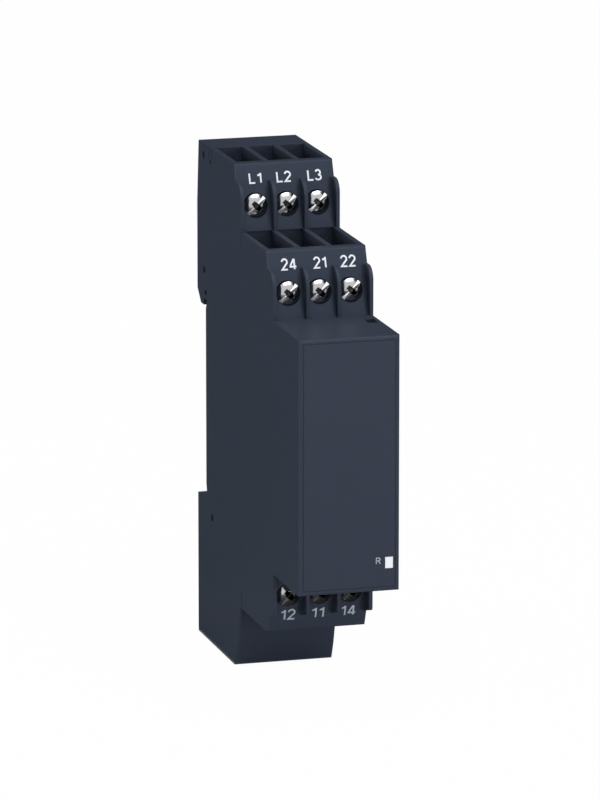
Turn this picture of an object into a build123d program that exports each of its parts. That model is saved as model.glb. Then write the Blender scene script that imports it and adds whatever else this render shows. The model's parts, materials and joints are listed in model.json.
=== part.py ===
from build123d import *
import os

os.makedirs("parts", exist_ok=True)

# Modular monitoring relay for a 35 mm rail, in millimetres.
# X runs across the case, the front looks to -Y and Z is up.
# The origin is in the rail seat, on the rail's centre line and midway across the case.

# Case
case_width = 18.0
side_wall = 1.0
inner_wall = 1.2
back_reach = 5.75
front_reach = 61.3
block_height = 45.0
level_step = 11.45
centre_rise = 0.55
edge_radius = 0.5
back_draft = 1.1
back_draft_drop = 11.2

# Rail recess
rail_height = 35.0
rail_clearance = 0.1
groove_undercut = 0.7
groove_rise = 0.2
groove_lead = 1.6
jaw_relief = 0.4
jaw_relief_rise = 1.6
rail_slot = 1.25
hook_reach = 3.3
hook_drop = 0.95
hook_bevel_rise = 2.3
jaw_slope_drop = 1.35
seat_wall = 1.9

# Terminal levels
upper_face = 19.45
lower_face = 40.4
label_height = 2.9
label_lean = 1.2
floor_lean = 2.55
ear_reach = 3.4
ear_thickness = 0.65
ear_radius = 2.4
rib_radius = 3.2
lower_ear_radius = 0.7
lower_ear_slope = 0.9
pole_margin = 0.57
pole_shift = -0.1
rib_width = 0.65
wall_width = 1.0
wall_shift = 0.2
cell_margin = 1.02
cell_depth = 12.4
upper_cell_front = 17.5
upper_cell_back = 3.9
lower_cell_back = 23.0
face_wall = upper_face - upper_cell_front
screw_drop = 7.1

# Clamp screws
head_gap = 0.42
head_pocket_gap = 0.06
head_rim = 0.75
head_dome = 1.15
dome_bands = 3
head_recess = 0.8
slot_width = 0.7
slot_depth = 0.75
cross_length = 2.6
shank_diameter = 2.96
shank_clearance = 0.05
shank_chamfer = 0.3
tip_gap = 0.05

# Clamp cages and contact bars
cage_fit = 0.22
cage_height = 5.4
nut_plate = 1.6
cage_window = 4.9
cage_back = 0.8
cage_side = 0.45
cage_corner = 0.5
cage_travel = 3.0
bar_setback = 6.0
bar_fit = 0.3
bar_thickness = 0.8
bar_end = 0.65
bar_tail_width = 1.4
cage_gap = 0.3
slot_clearance = 0.1
tail_below = 0.6
tail_notch_spare = 1.0

# Front cap
cap_thickness = 1.4
cap_radius = 0.5
cap_line_inset = 0.7
cap_line_width = 0.16
cap_line_depth = 0.08
cap_skirt = 1.0
skirt_depth = 3.2
skirt_gap = 0.1
snap_height = 0.5
snap_half_depth = 0.5
snap_spare = 0.2
snap_length = 8.0
window_width = 1.45
window_height = 2.05
window_inset = 1.87
window_z = -16.9
notch_width = 1.8
notch_length = 3.1
notch_inset = 1.6
notch_setback = 12.45

# Small marks in the left wall
pin_spots = ((1.34, 43.78), (1.05, 22.97), (-4.03, -21.57))
pin_bore = 1.5
pin_clearance = 0.03
pin_length = 8.0
boss_diameter = 3.6
boss_gap = 0.1
slit_width = 0.35
slit_depth = 0.5
latch_slits = (-2.45, -4.35)
latch_height = 1.9
latch_dot = (-3.4, 43.35)
latch_dot_diameter = 0.8
groove_mark = (0.13, 18.95)
groove_mark_radii = (0.7, 0.45)
witness_length = 3.0
witness_width = 0.25

# Rail clip
channel_width = 13.0
channel_lip = 1.3
channel_floor = 1.3
lip_depth = 1.75
channel_rise = 1.0
clip_clearance = 0.15
clip_top_gap = 0.1
clip_back = 5.3
clip_shoulder = 2.0
clip_lead = 0.4
clip_nose = 1.2
clip_nose_length = 0.95
clip_travel = 4.0
clip_tail = 0.35
window_side = 4.0
spring_window_rise = 20.35
spring_length = 10.9
spring_stop = 2.2
spring_stop_gap = 0.4
window_spare = 0.4
pry_slot_length = 5.0
pry_slot_width = 1.6
pry_slot_rise = 2.6
spring_diameter = 3.0
spring_wire = 0.45
spring_end_gap = 0.05
spring_setback = 0.35
spring_turns = 6
wire_sides = 6

# Circuit boards and what they carry
board_thickness = 1.6
small_board = 1.0
small_board_depth = 12.0
small_board_gap = 1.6
board_post_height = 1.4
post_diameter = 3.0
post_inset = 4.0
post_rise = 7.0
board_setback = 4.7
board_rear = 5.0
board_side_gap = 0.4
relay_length = 20.0
relay_depth = 10.0
relay_headroom = 1.0
relay_corner = 0.6
relay_chamfer = 0.4
capacitor_diameter = 8.0
capacitor_headroom = 1.0
capacitor_chamfer = 0.5
film_size = (11.0, 5.0, 13.0)
block_chamfer = 0.3
resistor_diameter = 3.4
resistor_length = 9.0
resistor_spacing = 4.4
resistor_lead = 0.7
resistor_stand = 1.2
resistor_inset = 3.0
resistor_drop = 0.5
lead_spread = 0.5
rectifier_size = (2.6, 5.0, 6.4)
chip_size = (2.3, 7.5, 12.8)
led_size = (1.25, 1.1, 2.0)
led_shift = 0.1
pipe_clearance = 0.03
pipe_gap = 0.05
# Places on the main board: share of its length from the rear, height from the middle
relay_places = ((0.22, 0.0), (0.46, 0.0))
capacitor_place = (0.84, 10.0)
film_place = (0.88, -8.0)
rectifier_place = (0.67, 10.0)
chip_place = (0.69, -8.0)

# Derived levels, heights are from the rail's centre line
half = case_width / 2
inner_left = -half + side_wall
cover_plane = half - side_wall
block_top = centre_rise + block_height / 2
block_bottom = centre_rise - block_height / 2
tier_2_top = block_top + level_step
tier_1_top = tier_2_top + level_step
tier_3_bottom = block_bottom - level_step
tier_4_bottom = tier_3_bottom - level_step
seat_top = rail_height / 2 + rail_clearance
groove_top = seat_top + groove_rise - rail_clearance
spring_window_top = tier_4_bottom + spring_window_rise
hook_tip = rail_height / 2 - hook_drop
jaw_back = -seat_top - jaw_slope_drop
face_lean = label_lean + floor_lean
upper_foot = upper_face + face_lean
lower_foot = lower_face + face_lean
case_front = front_reach - cap_thickness
ceiling_2 = tier_2_top - cell_depth - inner_wall
ceiling_1 = tier_1_top - cell_depth - inner_wall
floor_3 = tier_3_bottom + cell_depth + inner_wall
pole_pitch = (case_width - 2 * pole_margin) / 3
poles = (pole_shift - pole_pitch, pole_shift, pole_shift + pole_pitch)
walls = (pole_shift + wall_shift - pole_pitch / 2, pole_shift + wall_shift + pole_pitch / 2)
cell_width = pole_pitch - wall_width
head_diameter = cell_width - head_gap
cage_width = cell_width - 2 * wall_shift - cage_fit
bar_width = cage_width - 2 * cage_side - bar_fit
window_x = half - window_inset
notch_x = half - notch_inset
notch_y = notch_setback - front_reach
board_front = case_front - board_setback


# Each terminal level: its name, face depth, outer end, inward direction and cell back
LEVELS = (
    ("upper", upper_face, tier_1_top, -1, upper_cell_back),
    ("middle", lower_face, tier_2_top, -1, lower_cell_back),
    ("lower", lower_face, tier_3_bottom, 1, lower_cell_back),
)
TERMINALS = {
    "upper": ("l1", "l2", "l3"),
    "middle": ("24", "21", "22"),
    "lower": ("12", "11", "14"),
}
# Left and right side of each wire cell; the walls stand a little right of midway between poles
CELL_SIDES = (
    (cell_margin - half, walls[0] - wall_width / 2),
    (walls[0] + wall_width / 2, walls[1] - wall_width / 2),
    (walls[1] + wall_width / 2, cover_plane),
)


def face_points(face, end, inward):
    """Label strip and pole floor of one level, from its outer end inwards."""
    return [
        (-face, end),
        (-face - label_lean, end + inward * label_height),
        (-face - face_lean, end + inward * level_step),
    ]


def case_outline():
    """Side outline of the case without the front cap, as (Y, Z) points."""
    return [
        (back_reach - back_draft, tier_1_top),
        (back_reach, tier_1_top - back_draft_drop),
        (back_reach, hook_tip + hook_bevel_rise),
        (hook_reach, hook_tip),
        (rail_slot, hook_tip),
        (rail_slot, groove_top),
        (-groove_undercut, groove_top),
        (0, seat_top - groove_lead),
        (0, jaw_relief_rise - seat_top),
        (-jaw_relief, -seat_top),
        (back_reach, jaw_back),
        (back_reach, tier_4_bottom),
        *face_points(upper_face, tier_4_bottom, 1),
        *face_points(lower_face, tier_3_bottom, 1),
        (-case_front, block_bottom),
        (-case_front, block_top),
        *reversed(face_points(lower_face, tier_2_top, -1)),
        *reversed(face_points(upper_face, tier_1_top, -1)),
    ]


def ear_profile(face, end, inward, upper_radius):
    """Side view of the ribs that stand between and beside the poles of one level."""
    start = end + inward * label_height
    foot = end + inward * level_step
    front = -face - label_lean - ear_reach
    root = -face + face_wall / 2
    upper = inward < 0
    lean = 0 if upper else lower_ear_slope
    with BuildSketch() as ear:
        with BuildLine():
            Polyline((root, start), (-face - label_lean, start), (front, start + inward * lean),
                     (front, foot), (root, foot), close=True)
        make_face()
        corner = ear.vertices().group_by(Axis.X)[0].sort_by(Axis.Y)[-1 if upper else 0]
        fillet(corner, upper_radius if upper else lower_ear_radius)
    return ear.sketch_local


def face_edges(part, side):
    """Front edges of the label strips and pole floors on one side, and their outer ends."""
    chosen = []
    for face, end, inward in ((upper_face, tier_1_top, -1), (lower_face, tier_2_top, -1),
                              (lower_face, tier_3_bottom, 1), (upper_face, tier_4_bottom, 1)):
        low, high = sorted((end, end + inward * level_step))
        for edge in part.edges():
            middle = edge.position_at(0.5)
            on_face = -face - face_lean - 0.01 < middle.Y < -face + 0.01
            on_level = low - 0.01 < middle.Z < high + 0.01
            at_side = abs(middle.X - side) < 0.01 and abs(edge.tangent_at(0.5).Z) > 0.5
            at_end = abs(middle.Z - end) < 0.01 and abs(middle.Y + face) < 0.01
            if on_face and on_level and (at_side or at_end):
                chosen.append(edge)
    return chosen


# The case is one moulding, open on the right: left wall, level cells, ribs and rail recess
with BuildPart() as housing:
    with BuildSketch(Plane.YZ.offset(-half)):
        with BuildLine():
            Polyline(*case_outline(), close=True)
        make_face()
    extrude(amount=case_width - side_wall)
    fillet(face_edges(housing.part, -half), edge_radius)

    # Ribs between the poles and the left ears, flush with the left wall
    for name, face, end, inward, back in LEVELS:
        profile = ear_profile(face, end, inward, rib_radius)
        for x, width in ((-half, ear_thickness),
                         (walls[0] - rib_width / 2, rib_width),
                         (walls[1] - rib_width / 2, rib_width)):
            with BuildSketch(Plane.YZ.offset(x)):
                add(profile)
            extrude(amount=width)

    # Main chamber, open to the side cover and the front cap
    with BuildSketch(Plane.YZ.offset(inner_left)):
        with BuildLine():
            Polyline(
                (-case_front, block_top - inner_wall),
                (-lower_foot + inner_wall, block_top - inner_wall),
                (-lower_foot + inner_wall, ceiling_2),
                (-upper_foot + inner_wall, ceiling_2),
                (-upper_foot + inner_wall, ceiling_1),
                (-upper_cell_back + inner_wall, ceiling_1),
                (-upper_cell_back + inner_wall, tier_1_top - inner_wall),
                (back_reach - back_draft - inner_wall, tier_1_top - inner_wall),
                (back_reach - inner_wall, tier_1_top - back_draft_drop),
                (back_reach - inner_wall, hook_tip + hook_bevel_rise + inner_wall),
                (-seat_wall, hook_tip + hook_bevel_rise + inner_wall),
                (-seat_wall, -seat_top - inner_wall),
                (channel_floor - inner_wall, -seat_top - inner_wall),
                (channel_floor - inner_wall, tier_4_bottom + inner_wall),
                (-upper_face + inner_wall, tier_4_bottom + inner_wall),
                (-upper_face - label_lean + inner_wall, tier_4_bottom + label_height),
                (-upper_foot + inner_wall, tier_3_bottom),
                (-upper_foot + inner_wall, floor_3),
                (-lower_foot + inner_wall, floor_3),
                (-lower_foot + inner_wall, block_bottom + inner_wall),
                (-case_front, block_bottom + inner_wall),
                close=True,
            )
        make_face()
    extrude(amount=case_width, mode=Mode.SUBTRACT)

    # Wire cells, screw pockets, shank bores and contact bar slots of every pole
    for name, face, end, inward, back in LEVELS:
        cell_front = face - face_wall
        screw_z = end + inward * screw_drop
        floor_y = -face - label_lean - floor_lean * (screw_drop - label_height) / (level_step - label_height)
        mouth = Plane.XY.offset(end)
        for x, (left, right) in zip(poles, CELL_SIDES):
            with BuildSketch(mouth):
                with Locations(((left + right) / 2, -(cell_front + back) / 2)):
                    Rectangle(right - left, cell_front - back)
            extrude(amount=inward * cell_depth, mode=Mode.SUBTRACT)
            with BuildSketch(mouth):
                with Locations((x, -cell_front + bar_setback + bar_thickness / 2)):
                    Rectangle(bar_width + 2 * slot_clearance, bar_thickness + 2 * slot_clearance)
            extrude(amount=inward * (cell_depth + inner_wall), mode=Mode.SUBTRACT)
            with BuildSketch(Plane.XZ.offset(-floor_y - head_recess)):
                with Locations((x, screw_z)):
                    Circle(head_diameter / 2 + head_pocket_gap)
            extrude(amount=head_recess + floor_lean, mode=Mode.SUBTRACT)
            with BuildSketch(Plane.XZ.offset(cell_front)):
                with Locations((x, screw_z)):
                    Circle(shank_diameter / 2 + shank_clearance)
            extrude(amount=face_lean + face_wall, mode=Mode.SUBTRACT)

    # Bosses for the side cover's pins, bored through the left wall
    for y, z in pin_spots:
        with BuildSketch(Plane.YZ.offset(inner_left)):
            with Locations((y, z)):
                Circle(boss_diameter / 2)
        extrude(amount=cover_plane - boss_gap - inner_left)
        with BuildSketch(Plane.YZ.offset(-half)):
            with Locations((y, z)):
                Circle(pin_bore / 2)
        extrude(amount=case_width, mode=Mode.SUBTRACT)

    # Posts that the main board lies on
    with BuildSketch(Plane.YZ.offset(inner_left)):
        with Locations((post_inset - board_front, block_bottom + post_rise),
                       (post_inset - board_front, block_top - post_rise),
                       (-board_rear - post_inset, block_bottom + post_rise),
                       (-board_rear - post_inset, ceiling_1 - post_rise)):
            Circle(post_diameter / 2)
    extrude(amount=board_post_height)

    # Channel of the rail clip, with lips that hold the clip in and a stop for its spring
    with BuildSketch(Plane.XY.offset(tier_4_bottom)):
        with Locations((0, channel_floor)):
            Rectangle(channel_width, lip_depth, align=(Align.CENTER, Align.MIN))
            Rectangle(channel_width - 2 * channel_lip, back_reach, align=(Align.CENTER, Align.MIN))
    extrude(amount=channel_rise - seat_top - tier_4_bottom, mode=Mode.SUBTRACT)
    stop_top = spring_window_top - spring_length
    with BuildSketch(Plane.XY.offset(stop_top - spring_stop)):
        with Locations((0, channel_floor - inner_wall / 2)):
            Rectangle(window_side - 2 * clip_clearance,
                      clip_back - spring_stop_gap - channel_floor + inner_wall / 2,
                      align=(Align.CENTER, Align.MIN))
    extrude(amount=spring_stop)

    # Release slot in the block's top, snap pockets for the front cap
    with BuildSketch(Plane.XY.offset(block_top)):
        with Locations((notch_x, notch_y)):
            Rectangle(notch_width, notch_length)
    extrude(amount=-inner_wall, mode=Mode.SUBTRACT)
    snap_y = -case_front + skirt_depth / 2
    for z in (block_top - inner_wall, block_bottom + inner_wall):
        with Locations((0, snap_y, z)):
            Box(snap_length + 2 * skirt_gap, 2 * (snap_half_depth + snap_spare),
                2 * (snap_height + skirt_gap), mode=Mode.SUBTRACT)

    # Latch slits, dot, groove mark and witness lines in the left wall
    for y in latch_slits:
        with Locations((-half, y, tier_1_top)):
            Box(2 * slit_depth, slit_width, 2 * latch_height, mode=Mode.SUBTRACT)
    with BuildSketch(Plane.YZ.offset(-half)):
        with Locations(latch_dot):
            Circle(latch_dot_diameter / 2)
        with Locations(groove_mark):
            Ellipse(*groove_mark_radii)
    extrude(amount=slit_depth, mode=Mode.SUBTRACT)
    witness_y = -upper_face - label_lean - ear_reach
    for z in (tier_2_top - witness_length / 2, tier_3_bottom + witness_length / 2):
        with Locations((-half, witness_y, z)):
            Box(witness_width, witness_width, witness_length, mode=Mode.SUBTRACT)
housing.part.label = "housing"
export_step(housing.part, "parts/housing.step")

# Flat cover of the right side, with its own ears and three long pins
with BuildPart() as side_cover:
    with BuildSketch(Plane.YZ.offset(cover_plane)):
        with BuildLine():
            Polyline(*case_outline(), close=True)
        make_face()
    extrude(amount=side_wall)
    fillet(face_edges(side_cover.part, half), edge_radius)
    for name, face, end, inward, back in LEVELS:
        profile = ear_profile(face, end, inward, ear_radius)
        with BuildSketch(Plane.YZ.offset(half - ear_thickness)):
            add(profile)
        extrude(amount=ear_thickness)
    with BuildSketch(Plane.XY.offset(block_top)):
        with Locations((notch_x, notch_y)):
            Rectangle(notch_width, notch_length)
    extrude(amount=-inner_wall, mode=Mode.SUBTRACT)
    with BuildSketch(Plane.YZ.offset(cover_plane)):
        with Locations(*pin_spots):
            Circle(pin_bore / 2 - pin_clearance)
    extrude(amount=-pin_length)
side_cover.part.label = "side_cover"
export_step(side_cover.part, "parts/side_cover.step")

# Front cap: rounded plate framed by a fine line, with a skirt that snaps inside the block
skirt_top = block_top - inner_wall - skirt_gap
skirt_bottom = block_bottom + inner_wall + skirt_gap
skirt_width = case_width - 2 * side_wall - 2 * skirt_gap
with BuildPart() as front_cap:
    with BuildSketch(Plane.XZ.offset(case_front)):
        with Locations((0, centre_rise)):
            Rectangle(case_width, block_height)
    extrude(amount=cap_thickness)
    fillet(front_cap.faces().sort_by(Axis.Y)[0].edges(), cap_radius)
    line_width = case_width - 2 * cap_line_inset
    line_height = block_height - 2 * cap_line_inset
    with BuildSketch(Plane.XZ.offset(front_reach)):
        with Locations((0, centre_rise)):
            Rectangle(line_width, line_height)
            Rectangle(line_width - 2 * cap_line_width, line_height - 2 * cap_line_width,
                      mode=Mode.SUBTRACT)
    extrude(amount=-cap_line_depth, mode=Mode.SUBTRACT)
    with BuildSketch(Plane.XZ.offset(case_front)):
        with Locations((0, (skirt_top + skirt_bottom) / 2)):
            Rectangle(skirt_width, skirt_top - skirt_bottom)
            Rectangle(skirt_width - 2 * cap_skirt, skirt_top - skirt_bottom - 2 * cap_skirt,
                      mode=Mode.SUBTRACT)
    extrude(amount=-skirt_depth)
    for z, up in ((skirt_top, 1), (skirt_bottom, -1)):
        with BuildSketch(Plane.YZ.offset(-snap_length / 2)):
            with BuildLine():
                Polyline((snap_y - snap_half_depth, z),
                         (snap_y - snap_half_depth, z + up * snap_height),
                         (snap_y + snap_half_depth, z), close=True)
            make_face()
        extrude(amount=snap_length)
    with BuildSketch(Plane.XZ.offset(front_reach)):
        with Locations((window_x, window_z)):
            Rectangle(window_width, window_height)
    extrude(amount=-cap_thickness - skirt_depth, mode=Mode.SUBTRACT)
front_cap.part.label = "front_cap"
export_step(front_cap.part, "parts/front_cap.step")

# Sliding rail clip: T section, hooked nose, spring window and a slot to pull it down
nose_top = -rail_height / 2 + clip_nose
flange_half = channel_width / 2 - clip_clearance
stem_half = channel_width / 2 - channel_lip - clip_clearance
window_bottom = spring_window_top - spring_length - spring_stop - window_spare
with BuildPart() as rail_clip:
    with BuildSketch(Plane.XY.offset(tier_4_bottom + clip_tail)):
        with Locations((0, channel_floor + clip_clearance)):
            Rectangle(2 * flange_half, lip_depth - 2 * clip_clearance, align=(Align.CENTER, Align.MIN))
        with Locations((0, channel_floor + clip_clearance)):
            Rectangle(2 * stem_half, clip_back - channel_floor - clip_clearance,
                      align=(Align.CENTER, Align.MIN))
    extrude(amount=jaw_back - clip_top_gap - tier_4_bottom - clip_tail)
    with BuildSketch(Plane.YZ.offset(-stem_half)):
        with BuildLine():
            Polyline((channel_floor + clip_clearance, jaw_back - clip_shoulder),
                     (channel_floor + clip_clearance, nose_top),
                     (channel_floor + clip_clearance + clip_nose_length, nose_top),
                     (clip_back, jaw_back + clip_lead), (clip_back, jaw_back - clip_shoulder),
                     close=True)
        make_face()
    extrude(amount=2 * stem_half)
    with BuildSketch(Plane.XZ.offset(-back_reach)):
        with Locations((0, (spring_window_top + window_bottom) / 2)):
            Rectangle(window_side, spring_window_top - window_bottom)
        with Locations((0, tier_4_bottom + clip_tail + pry_slot_rise)):
            SlotOverall(pry_slot_length, pry_slot_width)
    extrude(amount=back_reach, mode=Mode.SUBTRACT)
rail_clip.part.label = "rail_clip"
export_step(rail_clip.part, "parts/rail_clip.step")

# Compression spring of the clip
coil_radius = (spring_diameter - spring_wire) / 2
spring_y = channel_floor + clip_clearance + spring_setback + spring_diameter / 2
spring_height = spring_length - spring_wire - 2 * spring_end_gap
with BuildPart() as clip_spring:
    with BuildLine(Plane.XY.offset(stop_top + spring_wire / 2 + spring_end_gap)):
        coil = Helix(pitch=spring_height / spring_turns, height=spring_height, radius=coil_radius,
                     center=(0, spring_y, 0))
    with BuildSketch(Plane(origin=coil @ 0, z_dir=coil % 0)):
        RegularPolygon(spring_wire / 2, wire_sides)
    sweep(path=coil)
clip_spring.part.label = "clip_spring"
export_step(clip_spring.part, "parts/clip_spring.step")


def make_screw(label, x, face, end, inward):
    """Captive clamp screw with a domed head, a slot and a cross recess."""
    z = end + inward * screw_drop
    floor = face + label_lean + floor_lean * (screw_drop - label_height) / (level_step - label_height)
    seat = floor - head_recess
    tip = face - face_wall - bar_setback + tip_gap
    radius = head_diameter / 2
    ball = (radius**2 + head_dome**2) / (2 * head_dome)
    steps = [radius * band / dome_bands for band in range(1, dome_bands + 1)]
    dome = [(-seat - head_rim - head_dome + ball - (ball**2 - r**2) ** 0.5, z + r) for r in steps]
    crown = -dome[0][0] - seat
    with BuildPart() as screw:
        with BuildSketch(Plane.YZ.offset(x)):
            with BuildLine():
                Polyline((-seat, z), (-seat - crown, z), *dome, (-seat, z + radius), close=True)
            make_face()
        revolve(axis=Axis((x, 0, z), (0, 1, 0)))
        with BuildSketch(Plane.XZ.offset(seat)):
            with Locations((x, z)):
                Circle(shank_diameter / 2)
        extrude(amount=tip - seat)
        with BuildSketch(Plane.XZ.offset(seat + crown)):
            with Locations(Location((x, z), 45)):
                Rectangle(head_diameter, slot_width)
        extrude(amount=-slot_depth - head_dome / 2, mode=Mode.SUBTRACT)
        with BuildSketch(Plane.XZ.offset(seat + crown)):
            with Locations(Location((x, z), 135)):
                Rectangle(cross_length, slot_width)
        extrude(amount=-slot_depth - head_dome / 2, mode=Mode.SUBTRACT)
        chamfer(screw.faces().sort_by(Axis.Y)[-1].edges(), shank_chamfer)
    screw.part.label = label
    export_step(screw.part, f"parts/{label}.step")


def make_cage(label, x, face, end, inward):
    """Bent clamp cage: threaded plate, window for bar and wire, and pulling plate."""
    z = end + inward * screw_drop
    nut_back = -face + face_wall + bar_setback - cage_gap
    nut_front = nut_back - nut_plate
    length = nut_plate + cage_window + cage_back
    with BuildPart() as cage:
        with BuildSketch(Plane.XY.offset(z - cage_height / 2)):
            with Locations((x, nut_front + length / 2)):
                plate = Rectangle(cage_width, length)
                chamfer(plate.vertices(), cage_corner)
            with Locations((x, nut_back + cage_window / 2)):
                Rectangle(cage_width - 2 * cage_side, cage_window, mode=Mode.SUBTRACT)
        extrude(amount=cage_height)
        with BuildSketch(Plane.XZ.offset(-nut_back)):
            with Locations((x, z)):
                Circle(shank_diameter / 2 + shank_clearance)
        extrude(amount=nut_plate, mode=Mode.SUBTRACT)
    cage.part.label = label
    export_step(cage.part, f"parts/{label}.step")


def make_bar(label, x, face, end, inward, board_face):
    """Contact bar through the cage, with a narrow tail soldered in the small board."""
    z = end + inward * screw_drop
    y = -face + face_wall + bar_setback + bar_thickness / 2
    tip = z - inward * (cage_height / 2 + bar_end)
    shoulder = board_face - inward * slot_clearance
    tail = board_face + inward * (small_board + tail_below)
    with BuildPart() as bar:
        with BuildSketch(Plane.XY.offset(min(tip, shoulder))):
            with Locations((x, y)):
                Rectangle(bar_width, bar_thickness)
        extrude(amount=abs(tip - shoulder))
        with BuildSketch(Plane.XY.offset(min(tail, shoulder))):
            with Locations((x, y)):
                Rectangle(bar_tail_width, bar_thickness)
        extrude(amount=abs(tail - shoulder))
    bar.part.label = label
    export_step(bar.part, f"parts/{label}.step")


def make_terminal_board(label, face, inward, board_face):
    """Small board across the case that takes the three bar tails of one level."""
    y = -face + face_wall + bar_setback + bar_thickness / 2
    with BuildPart() as board:
        with BuildSketch(Plane.XY.offset(min(board_face, board_face + inward * small_board))):
            with Locations((0, y)):
                Rectangle(case_width - 2 * side_wall - 2 * board_side_gap, small_board_depth)
            with Locations(*[(x, y) for x in poles]):
                Rectangle(bar_tail_width + 2 * slot_clearance, bar_thickness + 2 * slot_clearance,
                          mode=Mode.SUBTRACT)
        extrude(amount=small_board)
    board.part.label = label
    export_step(board.part, f"parts/{label}.step")


board_faces = {
    "upper": ceiling_1 - small_board_gap,
    "middle": ceiling_2 - small_board_gap,
    "lower": floor_3 + small_board_gap,
}
for name, face, end, inward, back in LEVELS:
    for x, terminal in zip(poles, TERMINALS[name]):
        make_screw(f"clamp_screw_{terminal}", x, face, end, inward)
        make_cage(f"clamp_cage_{terminal}", x, face, end, inward)
        make_bar(f"contact_bar_{terminal}", x, face, end, inward, board_faces[name])
    make_terminal_board(f"{name}_terminal_board", face, inward, board_faces[name])

# Main board along the left wall, with a tab up to the upper terminal board
board_x = inner_left + board_post_height
board_top = board_faces["middle"] - small_board
board_bottom = board_faces["lower"] + small_board
tab_front = -upper_foot + inner_wall + board_side_gap
with BuildPart() as main_board:
    with BuildSketch(Plane.YZ.offset(board_x)):
        with BuildLine():
            Polyline((-board_front, board_bottom), (-board_rear, board_bottom),
                     (-board_rear, board_faces["upper"] - small_board),
                     (tab_front, board_faces["upper"] - small_board),
                     (tab_front, board_top), (-board_front, board_top), close=True)
        make_face()
        for name, face, end, inward, back in LEVELS:
            edge = board_faces[name] + inward * small_board
            with Locations((-face + face_wall + bar_setback + bar_thickness / 2, edge)):
                Rectangle(bar_thickness + tail_notch_spare, 2 * tail_below + tail_notch_spare,
                          mode=Mode.SUBTRACT)
    extrude(amount=board_thickness)
main_board.part.label = "main_board"
export_step(main_board.part, "parts/main_board.step")
deck = board_x + board_thickness

# Display board behind the front cap
with BuildPart() as display_board:
    with BuildSketch(Plane.XZ.offset(board_front)):
        with Locations((0, centre_rise)):
            Rectangle(case_width - 2 * side_wall - 2 * board_side_gap,
                      block_height - 2 * inner_wall - 2 * board_side_gap)
    extrude(amount=small_board)
display_board.part.label = "display_board"
export_step(display_board.part, "parts/display_board.step")

# Indicator lamp on the display board and the light pipe that reaches the front
led_width, led_depth, led_height = led_size
led_front = board_front + small_board + led_depth
with BuildPart() as indicator_led:
    with BuildSketch(Plane.XZ.offset(board_front + small_board)):
        with Locations((window_x - led_shift, window_z)):
            Rectangle(led_width, led_height)
    extrude(amount=led_depth)
indicator_led.part.label = "indicator_led"
export_step(indicator_led.part, "parts/indicator_led.step")

with BuildPart() as light_pipe:
    with BuildSketch(Plane.XZ.offset(led_front + pipe_gap)):
        with Locations((window_x, window_z)):
            Rectangle(window_width - 2 * pipe_clearance, window_height - 2 * pipe_clearance)
    extrude(amount=front_reach - led_front - pipe_gap)
light_pipe.part.label = "light_pipe"
export_step(light_pipe.part, "parts/light_pipe.step")


def on_board(place):
    """Point (Y, Z) on the main board from a share of its length and a height."""
    share, rise = place
    return (-board_rear - share * (board_front - board_rear), centre_rise + rise)


def make_relay(label, place):
    """Sealed changeover relay on the main board."""
    with BuildPart() as relay:
        with BuildSketch(Plane.YZ.offset(deck)):
            with Locations(on_board(place)):
                outline = Rectangle(relay_depth, relay_length)
                chamfer(outline.vertices(), relay_corner)
        extrude(amount=cover_plane - deck - relay_headroom)
        chamfer(relay.faces().sort_by(Axis.X)[-1].edges(), relay_chamfer)
    relay.part.label = label
    export_step(relay.part, f"parts/{label}.step")


for number, place in enumerate(relay_places, 1):
    make_relay(f"output_relay_{number}", place)

# Smoothing capacitor, film capacitor, rectifier and controller
with BuildPart() as smoothing_capacitor:
    with BuildSketch(Plane.YZ.offset(deck)):
        with Locations(on_board(capacitor_place)):
            Circle(capacitor_diameter / 2)
    extrude(amount=cover_plane - deck - capacitor_headroom)
    chamfer(smoothing_capacitor.faces().sort_by(Axis.X)[-1].edges(), capacitor_chamfer)
smoothing_capacitor.part.label = "smoothing_capacitor"
export_step(smoothing_capacitor.part, "parts/smoothing_capacitor.step")


def make_block(label, size, place):
    """Plain moulded component on the main board."""
    height, depth, length = size
    with BuildPart() as block:
        with BuildSketch(Plane.YZ.offset(deck)):
            with Locations(on_board(place)):
                Rectangle(depth, length)
        extrude(amount=height)
        chamfer(block.faces().sort_by(Axis.X)[-1].edges(), block_chamfer)
    block.part.label = label
    export_step(block.part, f"parts/{label}.step")


make_block("film_capacitor", film_size, film_place)
make_block("rectifier", rectifier_size, rectifier_place)
make_block("controller_chip", chip_size, chip_place)


def make_resistor(label, y, z):
    """Dropper resistor with its two bent leads."""
    axis_x = deck + resistor_stand + resistor_diameter / 2
    with BuildPart() as resistor:
        with BuildSketch(Plane.XY.offset(z - resistor_length / 2)):
            with Locations((axis_x, y)):
                Circle(resistor_diameter / 2)
        extrude(amount=resistor_length)
        for end in (-1, 1):
            reach = resistor_length / 2 + lead_spread
            with Locations(((deck + axis_x) / 2, y, z + end * reach)):
                Box(axis_x - deck, resistor_lead, resistor_lead)
            with Locations((axis_x, y, z + end * (reach + resistor_lead / 2 - lead_spread))):
                Box(resistor_lead, resistor_lead, 2 * lead_spread)
    resistor.part.label = label
    export_step(resistor.part, f"parts/{label}.step")


for number in range(3):
    make_resistor(f"dropper_resistor_{number + 1}",
                  -board_rear - resistor_inset - number * resistor_spacing,
                  (board_top + board_faces["upper"]) / 2 - resistor_drop)
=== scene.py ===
# %% [markdown]
# # A slim relay for the mounting rail
# The object is a control relay one module wide. Its dark case has steps above and below a
# tall plain front, and each step carries three screw clamps for wires.
# The solids come ready from the CAD frame, in metres, with the origin in the rail seat.
# This lesson gives them their finish and adds what is too fine for solids: real screw heads
# with threads, the printed terminal numbers, the clip's wire spring and the studio.

# %% Load the frame
import json
from math import cos, pi, radians, sin, sqrt

import bmesh
import bpy
from mathutils import Matrix, Vector


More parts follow.
